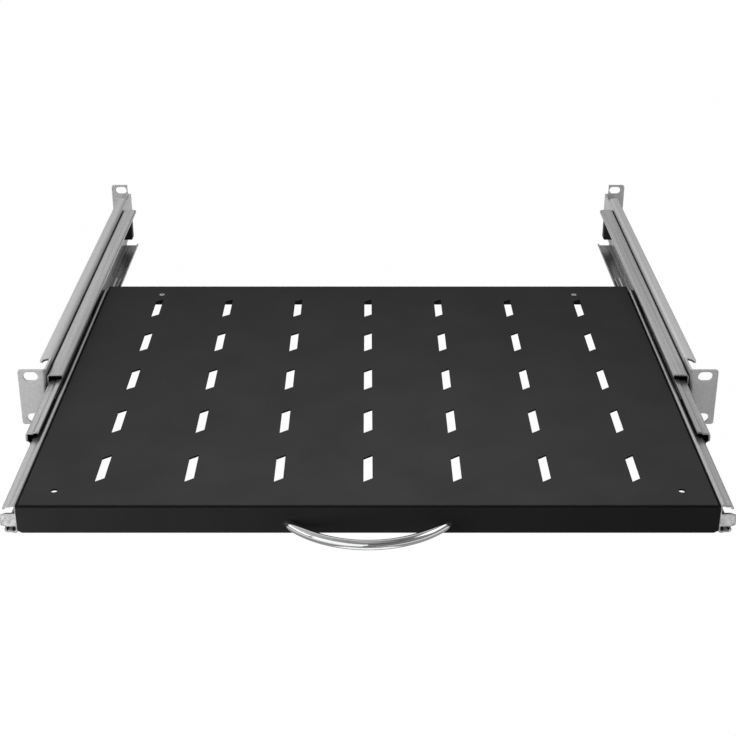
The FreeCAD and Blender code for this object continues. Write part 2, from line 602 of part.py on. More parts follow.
def make_balls(label, travel, inward, rise):
    """Two rows of bearing balls, above and below the slide's centre line."""
    body = slide_body(label, travel)
    first = f"{INNER_LENGTH} / 2 - cage_length / 2 + cage_end"
    radius = "ball_diameter / 2"
    sketch = new_sketch(body, "XY", x=f"-{inward}", y=first, lift=f"-{rise}")
    ends = [spot(f"-{radius}", "0"), spot("0", radius), spot(radius, "0")]
    arc = sketch.addGeometry(Part.Arc(ends[2], ends[1], ends[0]))
    chord = sketch.addGeometry(Part.LineSegment(ends[0], ends[2]))
    sketch.addConstraint(Sketcher.Constraint("Coincident", arc, 2, chord, 1))
    sketch.addConstraint(Sketcher.Constraint("Coincident", chord, 2, arc, 1))
    fix_point(sketch, arc, 3, "0", "0")
    for end in (1, 2):
        constrain(sketch, "DistanceY", -1, 1, chord, end, size="0")
    constrain(sketch, "Radius", arc, size=radius)
    ball = turn(body, sketch, "H_Axis")
    repeat(body, [ball], "Y", "ball_count", BALL_PITCH, second=("Z", "2", f"2 * {rise}"))


def make_cage(label, travel, inward, rise):
    """Upper and lower strips with a round pocket for each ball."""
    body = slide_body(label, travel)
    pocket_size = "(ball_diameter + 2 * pocket_gap)"
    half_width = f"({pocket_size} / 2 + cage_border)"
    strip = new_sketch(body, "XY", x=f"-{inward}", y=f"{INNER_LENGTH} / 2", lift=f"-{rise}")
    add_rectangle(strip, f"-{half_width}", half_width, "-cage_length / 2", "cage_length / 2")
    for number in range(int(value("ball_count"))):
        add_circle(strip, "0", f"cage_end - cage_length / 2 + {BALL_PITCH} * {number}", pocket_size)
    lower = pad(body, strip, "cage_sheet", symmetric=True)
    repeat(body, [lower], "Z", "2", f"2 * {rise}")


def make_rear_bumper():
    """Stop block on the web at the rear end of the outer rail."""
    body = slide_body("rear_bumper")
    face = "-(outer_sheet + bumper_depth)"
    block = [("-outer_sheet", "-bumper_height / 2"), (face, "-bumper_height / 2"),
             (face, "bumper_height / 2"), ("-outer_sheet", "bumper_height / 2")]
    feature = extrude_profile(body, block, "shelf_depth - bumper_length", "bumper_length")
    edges = edges_along(feature, "y", mirrored_pair([(face, "bumper_height / 2")]))
    round_edges(body, feature, edges, "bumper_round")


def make_rail_fasteners():
    """Rivets that hold the outer rail on its bracket, bolts and flange nuts that clamp the rear bracket."""
    rivets = slide_body("rail_rivets")
    section = new_sketch(rivets, "XY", y="rivet_front")
    tail = "(rivet_diameter + 2 * rivet_tail_rim)"
    flush_head(section, RIVET_HEAD, "rivet_diameter", "bracket_sheet", tail, "rivet_tail_height")
    repeat(rivets, [turn(rivets, section, "H_Axis")], "Y", "2", RIVET_PITCH)

    bolts = slide_body("clamp_bolts")
    section = new_sketch(bolts, "XY", y=BOLT_FRONT)
    bolt_tip = f"({NUT_SEAT} + nut_flange_height + nut_height + bolt_end)"
    flush_head(section, BOLT_HEAD, "bolt_diameter", bolt_tip)
    repeat(bolts, [turn(bolts, section, "H_Axis")], "Y", "2", "bolt_pitch")

    nuts = slide_body("clamp_nuts")
    bore = "(bolt_diameter + 2 * fit_gap)"
    flat = f"({bore} / 2 + nut_wall)"
    corner = f"({flat} * 2 / sqrt(3))"
    flange = new_sketch(nuts, "YZ", x=BOLT_FRONT, lift=NUT_SEAT)
    add_circle(flange, "0", "0", f"2 * ({flat} + nut_flange_rim)")
    add_circle(flange, "0", "0", bore)
    base = pad(nuts, flange, "nut_flange_height")
    hexagon = new_sketch(nuts, "YZ", x=BOLT_FRONT, lift=f"{NUT_SEAT} + nut_flange_height")
    half_side = f"({corner} / 2)"
    upper = [(corner, "0"), (half_side, flat), (f"-{half_side}", flat)]
    lower = [(f"-{corner}", "0"), (f"-{half_side}", f"-{flat}"), (half_side, f"-{flat}")]
    add_outline(hexagon, upper + lower)
    add_circle(hexagon, "0", "0", bore)
    top = pad(nuts, hexagon, "nut_height")
    repeat(nuts, [base, top], "Y", "2", "bolt_pitch")


def make_tray_screws():
    """Screws from inside the tray through its side flange into the inner rail's web."""
    body = slide_body("tray_screws", "1")
    seat = "-(slide_space + tray_sheet)"
    top = f"({seat} - tray_screw_head_height)"
    end = "-(slide_space - inner_sheet - tray_screw_end)"
    section = new_sketch(body, "XY", y="tray_screw_front")
    shank, head = "tray_screw_diameter / 2", "tray_screw_diameter / 2 + tray_screw_rim"
    add_outline(section, [(top, "0"), (top, head), (seat, head), (seat, shank), (end, shank), (end, "0")])
    repeat(body, [turn(body, section, "H_Axis")], "Y", "tray_screw_count", TRAY_SCREW_PITCH)


def make_tray():
    """Pan folded from one sheet: vented top, front lip, side flanges and a lower rear flange."""
    body = new_body("tray_panel", y="-rest_extension", z="-slide_drop")
    side, front = "tray_width / 2", "-tray_proud"
    blank = new_sketch(body, "XY", lift="tray_rise")
    add_rectangle(blank, f"-{side}", side, front, TRAY_REAR)
    feature = pad(body, blank, "lip_height", reverse=True)
    round_edges(body, feature, edges_at_height(feature, "tray_rise"), "tray_bend + tray_sheet")
    hollow = new_sketch(body, "XY", lift=TRAY_FLOOR)
    wall = f"({side} - tray_sheet)"
    add_rectangle(hollow, f"-{wall}", wall, f"{front} + tray_sheet", f"{TRAY_REAR} - tray_sheet")
    feature = pocket(body, hollow)
    round_edges(body, feature, edges_at_height(feature, TRAY_FLOOR), "tray_bend")
    trim_flanges(body, side, wall, front)
    punch_top(body, front)

    lip_holes = new_sketch(body, "XZ", lift="tray_proud")
    for place in (f"{HANDLE_SCREW_SPAN} / 2", f"-{HANDLE_SCREW_SPAN} / 2"):
        add_circle(lip_holes, place, HANDLE_HEIGHT, f"{HANDLE_SCREW} + 2 * fit_gap")
    pocket(body, lip_holes, "tray_sheet")
    side_hole = new_sketch(body, "YZ")
    add_circle(side_hole, "tray_screw_front", "0", "tray_screw_diameter + 2 * fit_gap")
    cut = pocket(body, side_hole, symmetric=True)
    repeat(body, [cut], "Y", "tray_screw_count", TRAY_SCREW_PITCH)


def trim_flanges(body, side, wall, front):
    """Lowers the rear flange, cuts the lip's bottom corners and opens the four corner seams."""
    rear = new_sketch(body, "XY", lift=TRAY_BOTTOM)
    add_rectangle(rear, f"-{side}", side, f"{TRAY_REAR} - tray_sheet", TRAY_REAR)
    pocket(body, rear, "rear_flange_lift", reverse=True)
    corners = new_sketch(body, "XZ", lift="tray_proud")
    for sign in ("", "-"):
        edge = f"{sign}({side})"
        add_outline(corners, [(edge, TRAY_BOTTOM), (edge, f"{TRAY_BOTTOM} + lip_chamfer_high"),
                              (f"{sign}({side} - lip_chamfer_wide)", TRAY_BOTTOM)])
    pocket(body, corners, "tray_sheet")
    seams = new_sketch(body, "XY", lift=TRAY_BOTTOM)
    for sign in ("", "-"):
        for start in (f"{front} + tray_sheet", f"{TRAY_REAR} - tray_sheet - corner_slit"):
            add_rectangle(seams, f"{sign}({wall})", f"{sign}({side})", start, f"{start} + corner_slit")
    pocket(body, seams, "lip_height - tray_sheet - tray_bend - seam_land", reverse=True)


def punch_top(body, front):
    """Vent slots with slanted ends, two plain front holes and the seats of the rear rivets."""
    slot = new_sketch(body, "XY", x="slot_side_margin - tray_width / 2", y=f"{front} + slot_end_margin",
                      lift="tray_rise")
    across = "slot_width / 2"
    long_end = "(slot_length + slot_slant) / 2"
    short_end = "(slot_length - slot_slant) / 2"
    add_outline(slot, [(f"-{across}", f"-{long_end}"), (across, f"-{short_end}"),
                       (across, long_end), (f"-{across}", short_end)])
    cut = pocket(body, slot, "tray_sheet")
    pitch = "(tray_width - 2 * slot_side_margin) / (slot_columns - 1)"
    row_pitch = "(shelf_depth - 2 * slot_end_margin) / (slot_rows - 1)"
    repeat(body, [cut], "X", "slot_columns", pitch, second=("Y", "slot_rows", row_pitch))
    holes = new_sketch(body, "XY", lift="tray_rise")
    for sign in ("", "-"):
        across = f"{sign}(tray_width / 2 - front_hole_side)"
        add_circle(holes, across, f"{front} + front_hole_inset", "front_hole_diameter")
    pocket(body, holes, "tray_sheet")
    seat = tray_rivet_sketch(body)
    narrow = "(tray_rivet_diameter / 2 + fit_gap)"
    wide = f"{narrow} + tray_rivet_head_rim"
    add_outline(seat, [("0", "tray_rise"), (wide, "tray_rise"), (narrow, f"{TRAY_FLOOR} + flush_head_land"),
                       (narrow, TRAY_FLOOR), ("0", TRAY_FLOOR)])
    cut = turned_cut(body, seat, "V_Axis")
    repeat(body, [cut], "X", "2", TRAY_RIVET_SPAN)


def tray_rivet_sketch(body):
    """Sketch whose upright axis is the left rear rivet's."""
    return new_sketch(body, "XZ", x=f"-{TRAY_RIVET_SPAN} / 2", lift=f"-({TRAY_REAR} - tray_rivet_inset)")


def make_tray_rivets():
    """Two rivets with heads flush in the tray's top."""
    body = new_body("tray_rivets", y="-rest_extension", z="-slide_drop")
    section = tray_rivet_sketch(body)
    shank = "tray_rivet_diameter / 2"
    head, tail = f"{shank} + tray_rivet_head_rim", f"{shank} + tray_rivet_tail_rim"
    tail_end = f"{TRAY_FLOOR} - tray_rivet_tail_height"
    add_outline(section, [("0", "tray_rise"), (head, "tray_rise"),
                          (shank, f"{TRAY_FLOOR} + flush_head_land"), (shank, TRAY_FLOOR),
                          (tail, TRAY_FLOOR), (tail, tail_end), ("0", tail_end)])
    repeat(body, [turn(body, section, "V_Axis")], "X", "2", TRAY_RIVET_SPAN)


def handle_body(label):
    """A piece whose local origin is on the front lip's face, at the handle's height."""
    return new_body(label, y="-(rest_extension + tray_proud)", z=f"{HANDLE_HEIGHT} - slide_drop")


def make_handle():
    """Round bar bent in one plain bow, cut off where it meets the lip, and bored for its screws."""
    body = handle_body("handle")
    bow = "((handle_span^2 / 4 + handle_reach^2) / (2 * handle_reach))"
    section = new_sketch(body, "YZ", x=f"{bow} - handle_reach")
    add_circle(section, f"-{bow}", "0", "handle_diameter")
    turn(body, section, "V_Axis")
    behind_lip = new_sketch(body, "XY")
    reach = f"({bow} + handle_diameter)"
    add_rectangle(behind_lip, f"-{reach}", reach, "0", f"2 * {reach}")
    pocket(body, behind_lip, symmetric=True)
    bores = new_sketch(body, "XZ")
    for sign in ("", "-"):
        add_circle(bores, f"{sign}{HANDLE_SCREW_SPAN} / 2", "0", f"{HANDLE_SCREW} + 2 * fit_gap")
    pocket(body, bores, "handle_screw_bite + handle_bore_end", reverse=True)


def make_handle_screws():
    """Pan-head screws from behind the lip into the ends of the handle."""
    body = handle_body("handle_screws")
    section = new_sketch(body, "XY", x=f"-{HANDLE_SCREW_SPAN} / 2")
    shank = f"{HANDLE_SCREW} / 2"
    head = f"{shank} + handle_screw_rim"
    top = "tray_sheet + handle_screw_head_height"
    add_outline(section, [("0", top), (head, top), (head, "tray_sheet"), (shank, "tray_sheet"),
                          (shank, "-handle_screw_bite"), ("0", "-handle_screw_bite")])
    repeat(body, [turn(body, section, "V_Axis")], "X", "2", HANDLE_SCREW_SPAN)


def mirror_to_left(body):
    """The left-hand twin of a right-hand piece."""
    twin = doc.addObject("Part::Mirroring", body.Label.replace("right_", "left_"))
    twin.Label = body.Label.replace("right_", "left_")
    twin.Source = body
    twin.Normal = FreeCAD.Vector(1, 0, 0)
    return twin


make_front_bracket()
make_rear_bracket()
make_outer_rail()
make_middle_rail()
make_inner_rail()
make_balls("outer_balls", OUTER_CAGE_TRAVEL, OUTER_BALL_IN, OUTER_BALL_RISE)
make_cage("outer_cage", OUTER_CAGE_TRAVEL, OUTER_BALL_IN, OUTER_BALL_RISE)
make_balls("inner_balls", INNER_CAGE_TRAVEL, INNER_BALL_IN, INNER_BALL_RISE)
make_cage("inner_cage", INNER_CAGE_TRAVEL, INNER_BALL_IN, INNER_BALL_RISE)
make_rear_bumper()
make_rail_fasteners()
make_tray_screws()
sub_parts += [mirror_to_left(body) for body in sub_parts]
make_tray()
make_tray_rivets()
make_handle()
make_handle_screws()
doc.recompute()

faults = [item.Label for item in doc.Objects if {"Invalid", "Error"} & set(item.State)]
faults += [part.Label for part in sub_parts if part.Shape.isNull() or not part.Shape.isValid()]
if faults:
    raise ValueError(f"failed: {faults}")
os.makedirs("parts", exist_ok=True)
for part in sub_parts:
    part.Shape.exportStep(f"parts/{part.Label}.step")
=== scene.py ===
# Studio view of a sliding rack shelf: black vented tray, chrome handle, zinc-plated slides and brackets.

import json
import math

import bmesh
import bpy
from mathutils import Matrix, Vector


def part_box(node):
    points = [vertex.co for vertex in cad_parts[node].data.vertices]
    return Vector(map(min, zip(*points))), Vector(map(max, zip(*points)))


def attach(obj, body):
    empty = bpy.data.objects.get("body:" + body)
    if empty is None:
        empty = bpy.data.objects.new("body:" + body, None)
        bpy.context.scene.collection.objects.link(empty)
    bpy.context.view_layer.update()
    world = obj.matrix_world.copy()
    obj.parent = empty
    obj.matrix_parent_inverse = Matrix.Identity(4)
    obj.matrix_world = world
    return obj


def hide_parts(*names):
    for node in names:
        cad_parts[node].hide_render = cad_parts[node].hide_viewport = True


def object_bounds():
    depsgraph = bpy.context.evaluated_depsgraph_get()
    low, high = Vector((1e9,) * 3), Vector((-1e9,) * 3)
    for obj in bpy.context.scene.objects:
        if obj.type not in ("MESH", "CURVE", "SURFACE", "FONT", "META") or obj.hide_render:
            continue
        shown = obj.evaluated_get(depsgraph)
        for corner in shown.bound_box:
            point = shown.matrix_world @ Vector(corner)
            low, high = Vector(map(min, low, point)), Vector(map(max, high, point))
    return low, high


MM = 0.001

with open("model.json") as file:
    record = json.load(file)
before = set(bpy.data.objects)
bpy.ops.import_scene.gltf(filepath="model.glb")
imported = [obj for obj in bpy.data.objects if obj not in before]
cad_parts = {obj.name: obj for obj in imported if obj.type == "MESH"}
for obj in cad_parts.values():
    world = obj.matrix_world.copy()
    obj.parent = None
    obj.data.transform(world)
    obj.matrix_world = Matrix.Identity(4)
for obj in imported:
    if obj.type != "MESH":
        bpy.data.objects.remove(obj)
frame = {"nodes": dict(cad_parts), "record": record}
cad_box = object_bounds()
scene = bpy.context.scene
scene.view_settings.view_transform = "Standard"


# Node helpers

# Most values of a noise lie between these two.
NOISE_LOW = 0.3
NOISE_HIGH = 0.7


def empty_tree(owner):
    """The cleared node tree of a material or world."""
    owner.use_nodes = True
    owner.node_tree.nodes.clear()
    return owner.node_tree


def add_node(tree, kind, inputs=None, **settings):
    """A node with its settings; inputs are plain values or the sockets that feed them."""
    node = tree.nodes.new(kind)
    for name, value in settings.items():
        setattr(node, name, value)
    for name, value in (inputs or {}).items():
        if isinstance(value, bpy.types.NodeSocket):
            tree.links.new(value, node.inputs[name])
        else:
            node.inputs[name].default_value = value
    return node


def reckon(tree, operation, *values):
    """Result of a sum on plain values or sockets."""
    return add_node(tree, "ShaderNodeMath", dict(enumerate(values)), operation=operation).outputs["Value"]


def new_finish(name):
    """An empty material and its main shader."""
    material = bpy.data.materials.new(name)
    tree = empty_tree(material)
    shader = add_node(tree, "ShaderNodeBsdfPrincipled")
    add_node(tree, "ShaderNodeOutputMaterial", {"Surface": shader.outputs["BSDF"]})
    return material, tree, shader


def grain(tree, size, stretch=(1, 1, 1), detail=3.0):
    """Noise whose features are about size across, in metres, drawn out along an axis by a small stretch."""
    place = add_node(tree, "ShaderNodeTexCoord").outputs["Object"]
    mapping = add_node(tree, "ShaderNodeMapping", {"Vector": place, "Scale": stretch})
    inputs = {"Vector": mapping.outputs["Vector"], "Scale": 1 / size, "Detail": detail}
    return add_node(tree, "ShaderNodeTexNoise", inputs).outputs["Fac"]


def spread(tree, factor, low, high, start=NOISE_LOW, end=NOISE_HIGH):
    """The factor from start to end, as a number from low to high."""
    inputs = {"Value": factor, "From Min": start, "From Max": end, "To Min": low, "To Max": high}
    return add_node(tree, "ShaderNodeMapRange", inputs).outputs["Result"]


def grey(level):
    """Neutral colour of that level."""
    return (level, level, level)


def tint(tree, factor, dark, light):
    """A noise as a colour from dark to light."""
    ramp = add_node(tree, "ShaderNodeValToRGB", {"Fac": factor})
    ends = zip(ramp.color_ramp.elements, (NOISE_LOW, NOISE_HIGH), (dark, light))
    for element, position, colour in ends:
        element.position = position
        element.color = (*colour, 1)
    return ramp.outputs["Color"]


def blend(tree, factor, first, second):
    """The first colour where the factor is zero, and the second where it is one."""
    mix = add_node(tree, "ShaderNodeMix", {"Factor": factor}, data_type="RGBA")
    for socket, colour in zip((mix.inputs[6], mix.inputs[7]), (first, second)):
        if isinstance(colour, bpy.types.NodeSocket):
            tree.links.new(colour, socket)
        else:
            socket.default_value = (*colour, 1)
    return mix.outputs[2]


def relief(tree, height, depth, under=None):
    """Surface normal with that height pattern, depth in metres, over another relief."""
    inputs = {"Height": height, "Distance": depth, "Strength": 1.0}
    if under:
        inputs["Normal"] = under
    return add_node(tree, "ShaderNodeBump", inputs).outputs["Normal"]


def link(tree, shader, **sockets):
    """Feeds the shader's sockets, named with underscores for spaces."""
    for name, socket in sockets.items():
        tree.links.new(socket, shader.inputs[name.replace("_", " ")])


# Finishes

# Near-black colour of the darker random stripes in the bands and of the painted shade in recesses; how far
# the occlusion that paints that shade looks.
GREASE_AND_SHADE = grey(0.012)
PAINTED_SHADE_REACH = 20 * MM

# How squarely a face lies where a fold begins to turn flat, and where it is flat.
FOLD_FACING = 0.9
FLAT_FACING = 0.995


def flatness(tree):
    """One on faces square to the shelf, zero on the rounded folds between them; it masks the coat's painted
    fold shade.
    """
    facing = add_node(tree, "ShaderNodeTexCoord").outputs["Normal"]
    size = add_node(tree, "ShaderNodeVectorMath", {0: facing}, operation="ABSOLUTE")
    parts = add_node(tree, "ShaderNodeSeparateXYZ", {0: size.outputs["Vector"]}).outputs
    level = reckon(tree, "MAXIMUM", parts["X"], parts["Y"])
    level = reckon(tree, "MAXIMUM", level, parts["Z"])
    return spread(tree, level, 0.0, 1.0, FOLD_FACING, FLAT_FACING)


def rolled_edge(tree, radius):
    """Surface normal that turns over edges as rolled sheet does."""
    return add_node(tree, "ShaderNodeBevel", {"Radius": radius}, samples=6).outputs["Normal"]


def black_powder_coat():
    """Fine-textured black coat with a faint orange peel, dull over the folds, and painted near black there
    and on slot walls as shade.
    """
    material, tree, shader = new_finish("black powder coat")
    cloud = grain(tree, 40 * MM)
    peel = grain(tree, 1.1 * MM, detail=2.0)
    speck = grain(tree, 0.35 * MM, detail=1.0)
    flat = flatness(tree)
    coat = tint(tree, cloud, grey(0.0222), grey(0.0268))
    dullness = spread(tree, flat, 0.3, 0.0, start=0.0, end=1.0)
    # Folds and slot walls get a near-black base colour: painted shade that stands in for their dark
    # reflections and shadows.
    link(tree, shader, Base_Color=blend(tree, flat, grey(0.006), coat),
         Roughness=reckon(tree, "ADD", spread(tree, peel, 0.55, 0.65), dullness),
         Normal=relief(tree, speck, 0.006 * MM, relief(tree, peel, 0.02 * MM)))
    shader.inputs["Specular IOR Level"].default_value = 0.07
    return material


def plated_steel(name, dark, light, smooth, rough, streak_depth, metal=1.0, edge=0.8 * MM, bands=1.0):
    """Plated steel rolled along the shelf's depth: bands, streaks and spangle, with painted shade darkening
    the channels, gaps and inside corners.
    """
    material, tree, shader = new_finish(name)
    spangle = grain(tree, 1.6 * MM, stretch=(1, 0.5, 1), detail=6.0)
    streak = grain(tree, 0.5 * MM, stretch=(1, 0.02, 1), detail=4.0)
    stripe = grain(tree, 2.4 * MM, stretch=(1, 0.008, 1), detail=2.0)
    band = spread(tree, stripe, bands, 1.0, start=0.35, end=0.6)
    occlusion = add_node(tree, "ShaderNodeAmbientOcclusion", {"Distance": PAINTED_SHADE_REACH}, samples=8)
    unshaded = spread(tree, occlusion.outputs["AO"], 0.0, 1.0, start=0.25, end=0.8)
    plate = blend(tree, band, GREASE_AND_SHADE, tint(tree, spangle, dark, light))
    # The base colour fades to that near black where ambient occlusion finds nearby surfaces: painted shade in
    # the channels, gaps and inside corners.
    link(tree, shader, Base_Color=blend(tree, unshaded, GREASE_AND_SHADE, plate),
         Roughness=spread(tree, streak, smooth, rough),
         Normal=relief(tree, streak, streak_depth, rolled_edge(tree, edge)))
    shader.inputs["Metallic"].default_value = metal
    return material


def chrome_plate():
    """Bright chrome with a faint waviness from polishing."""
    material, tree, shader = new_finish("chrome plate")
    wave = grain(tree, 6 * MM, detail=1.0)
    haze = grain(tree, 1.5 * MM, detail=4.0)
    link(tree, shader, Base_Color=tint(tree, haze, (0.78, 0.785, 0.79), (0.84, 0.842, 0.845)),
         Roughness=spread(tree, haze, 0.05, 0.1),
         Normal=relief(tree, wave, 0.01 * MM))
    shader.inputs["Metallic"].default_value = 1.0
    return material


def moulded_plastic():
    """Black moulded plastic with a spark-eroded texture."""
    material, tree, shader = new_finish("moulded plastic")
    pit = grain(tree, 0.3 * MM, detail=2.0)
    link(tree, shader, Base_Color=tint(tree, pit, grey(0.012), grey(0.02)),
         Roughness=spread(tree, pit, 0.5, 0.62),
         Normal=relief(tree, pit, 0.02 * MM))
    shader.inputs["Specular IOR Level"].default_value = 0.35
    return material


FINISHES = {
    "black_coat": black_powder_coat(),
    "zinc_sheet": plated_steel("rail zinc", grey(0.56), grey(0.64), smooth=0.22, rough=0.36,
                               streak_depth=0.004 * MM, metal=0.9, edge=1.1 * MM, bands=0.7),
    "bracket_sheet": plated_steel("bracket zinc", grey(0.75), grey(0.8), smooth=0.36, rough=0.5,
                                  streak_depth=0.006 * MM, metal=0.85, bands=0.93),
    "chrome_bar": chrome_plate(),
    "cage_strip": plated_steel("cage steel", grey(0.3), grey(0.42), smooth=0.32, rough=0.46,
                               streak_depth=0.004 * MM),
    "ball_steel": plated_steel("ball steel", (0.7, 0.7, 0.71), (0.78, 0.78, 0.79), smooth=0.06, rough=0.12,
                               streak_depth=0.001 * MM),
    "black_plastic": moulded_plastic(),
    "fastener": plated_steel("fastener zinc", (0.52, 0.52, 0.51), (0.64, 0.64, 0.63), smooth=0.24, rough=0.36,
                             streak_depth=0.003 * MM),
}


def coat_nodes():
    """Gives each CAD node the finish of its material slot."""
    for part in frame["record"]["subparts"]:
        mesh = frame["nodes"][part["node"]].data
        mesh.materials.clear()
        mesh.materials.append(FINISHES[part["material_slot"]])


coat_nodes()


# Fasteners, in millimetres until they are set in place

# Corners nearer than this are one corner.
SAME_PLACE = 0.001

# The depth of a thread as a share of its pitch, and the size of a recess's floor as a share of its mouth.
THREAD_DEPTH = 0.54
RECESS_TAPER = 0.75

# Faces round a turned shape, the most that an upright face leans, and the bend that stays a sharp edge.
TURNING_STEPS = 36
UPRIGHT = 0.1
SHARP_ANGLE = math.radians(35)


def join(shape, other, matrix):
    """Adds the other shape, moved by the matrix, and frees it."""
    bmesh.ops.transform(other, matrix=matrix, verts=other.verts)
    mesh = bpy.data.meshes.new("joined")
    other.to_mesh(mesh)
    other.free()
    shape.from_mesh(mesh)
    bpy.data.meshes.remove(mesh)


def turned(profile, ring=False):
    """Solid turned about Z from points of radius and height, or a ring whose profile closes on itself."""
    shape = bmesh.new()
    points = [shape.verts.new((radius, 0, height)) for radius, height in profile]
    edges = [shape.edges.new(pair) for pair in zip(points, points[1:])]
    if ring:
        edges.append(shape.edges.new((points[-1], points[0])))
    bmesh.ops.spin(shape, geom=points + edges, cent=(0, 0, 0), axis=(0, 0, 1), angle=math.tau,
                   steps=TURNING_STEPS, use_merge=True)
    bmesh.ops.remove_doubles(shape, verts=shape.verts, dist=SAME_PLACE)
    bmesh.ops.recalc_face_normals(shape, faces=shape.faces)
    return shape


def thread(radius, start, end, pitch):
    """Profile of a V thread from one height down to another, its depth a share of the pitch."""
    turns = round((start - end) / pitch)
    points = []
    for number in range(turns):
        points.append((radius, start - number * pitch))
        points.append((radius - THREAD_DEPTH * pitch, start - (number + 0.5) * pitch))
    return points


def dome(middle, rim, steps=4):
    """Profile from the middle, where a rounded end is level, out to its rim, where it is upright."""
    points = []
    for step in range(steps + 1):
        turn = math.pi / 2 * step / steps
        radius = middle[0] + (rim[0] - middle[0]) * math.sin(turn)
        height = rim[1] + (middle[1] - rim[1]) * math.cos(turn)
        points.append((radius, height))
    return points


def level_faces(shape, height):
    """Faces that lie flat at that height."""
    faces = []
    for face in shape.faces:
        if all(abs(corner.co.z - height) < SAME_PLACE for corner in face.verts):
            faces.append(face)
    return faces


def cut_level_faces(shape, top, point, way):
    """Cuts the flat end at that height along a plane through the point."""
    flat = level_faces(shape, top)
    edges = list(dict.fromkeys(edge for face in flat for edge in face.edges))
    corners = list(dict.fromkeys(corner for face in flat for corner in face.verts))
    bmesh.ops.bisect_plane(shape, geom=flat + edges + corners, dist=SAME_PLACE / 2,
                           plane_co=point, plane_no=way)


def cut_cross(shape, top, reach, width, depth):
    """Presses a tapered cross recess into the flat end at that height."""
    for way in (Vector((1, 0, 0)), Vector((0, 1, 0))):
        for offset in (-reach, -width / 2, width / 2, reach):
            cut_level_faces(shape, top, way * offset, way)
    arms = []
    for face in level_faces(shape, top):
        middle = face.calc_center_median()
        beside, along = sorted((abs(middle.x), abs(middle.y)))
        if along < reach and beside < width / 2:
            arms.append(face)
    pressed = bmesh.ops.extrude_face_region(shape, geom=arms)["geom"]
    bmesh.ops.delete(shape, geom=arms, context="FACES")
    floor = [item for item in pressed if isinstance(item, bmesh.types.BMVert)]
    bmesh.ops.translate(shape, verts=floor, vec=(0, 0, -depth))
    bmesh.ops.scale(shape, verts=floor, vec=(RECESS_TAPER, RECESS_TAPER, 1))
    bmesh.ops.recalc_face_normals(shape, faces=shape.faces)


def pan_screw(head, height, shank, length, pitch):
    """Pan-head screw with a cross recess; its seat is at zero and its tip points down."""
    crown, shoulder = 0.62 * head, 0.36 * height
    seat_rim, seat_edge = 0.98 * head, 0.05 * height
    tip_rim, tip_start = 0.7 * shank, 0.4 * pitch - length
    top = dome((crown, height), (head, shoulder))
    seat = [(head, seat_edge), (seat_rim, 0)]
    tip = [(shank, tip_start), (tip_rim, -length), (0, -length)]
    shape = turned([(0, height)] + top + seat + thread(shank, 0, pitch - length, pitch) + tip)
    cut_cross(shape, height, reach=0.56 * head, width=0.2 * head, depth=0.5 * height)
    return shape


def tray_screw():
    """Screw that holds the tray's side flange on the inner rail."""
    return pan_screw(head=3.75, height=2.4, shank=2.0, length=4.4, pitch=0.7)


def handle_screw():
    """Screw from behind the lip into an end of the handle."""
    return pan_screw(head=2.8, height=2.0, shank=1.5, length=3.4, pitch=0.5)


def tray_rivet():
    """Blind rivet whose head sits flush in the tray's top, with the dimple of its broken stem."""
    head, shank, tail = 2.2, 1.3, 2.1
    cone_end, sheet_end, dome_start, tail_end = -0.9, -1.2, -1.6, -2.2
    dimple, dimple_floor = 0.8, -0.35
    top = [(0, dimple_floor), (0.8 * dimple, dimple_floor), (dimple, 0), (head, 0)]
    hold = [(shank, cone_end), (shank, sheet_end), (tail, sheet_end)]
    return turned(top + hold + dome((0, tail_end), (tail, dome_start))[::-1])


def rail_rivet():
    """Rivet with a flush head in the outer rail and a domed tail on the bracket."""
    head, shank, tail = 2.8, 1.6, 3.0
    cone_end, sheets_end, dome_start, tail_end = -0.8, -2.5, -2.8, -3.7
    hold = [(0, 0), (head, 0), (shank, cone_end), (shank, sheets_end), (tail, sheets_end)]
    return turned(hold + dome((0, tail_end), (tail, dome_start))[::-1])


def clamp_bolt():
    """Countersunk bolt with a cross recess and a threaded end."""
    head, shank, pitch = 4.2, 2.5, 0.8
    cone_end, thread_start, thread_end, end = -0.8, -3.2, -8.8, -9.2
    top = [(0, 0), (head, 0), (shank, cone_end), (shank, thread_start)]
    tip = [(shank, thread_end), (shank + end - thread_end, end), (0, end)]
    shape = turned(top + thread(shank, thread_start, thread_end, pitch) + tip)
    cut_cross(shape, 0, reach=2.3, width=0.9, depth=0.7)
    return shape


def nut_flange(bore, height):
    """Coned flange of a clamp nut."""
    rim, rim_top, rim_chamfer, cone_top = 5.75, 0.5, 0.15, 4.5
    edge = [(rim - rim_chamfer, 0), (rim, rim_chamfer), (rim, rim_top)]
    return turned([(bore, 0)] + edge + [(cone_top, height), (bore, height)], ring=True)


def nut_hexagon(bore, flats, height, chamfer):
    """Hexagon of a clamp nut, with chamfered rims."""
    sides, cuts = 6, 3
    shape = bmesh.new()
    bmesh.ops.create_circle(shape, segments=sides, radius=flats / math.cos(math.pi / sides))
    bmesh.ops.subdivide_edges(shape, edges=shape.edges[:], cuts=cuts)
    bmesh.ops.create_circle(shape, segments=sides * (cuts + 1), radius=bore)
    bmesh.ops.bridge_loops(shape, edges=shape.edges[:])
    raised = bmesh.ops.extrude_face_region(shape, geom=shape.faces[:])["geom"]
    top = [item for item in raised if isinstance(item, bmesh.types.BMVert)]
    bmesh.ops.translate(shape, verts=top, vec=(0, 0, height))
    bmesh.ops.recalc_face_normals(shape, faces=shape.faces)
    rims = []
    for edge in shape.edges:
        upright = [face for face in edge.link_faces if abs(face.normal.z) < UPRIGHT]
        if len(upright) == 1 and all(end.co.z > height / 2 for end in edge.verts):
            rims.append(edge)
    bmesh.ops.bevel(shape, geom=rims, affect="EDGES", offset=chamfer, segments=2, profile=0.5, material=-1)
    return shape


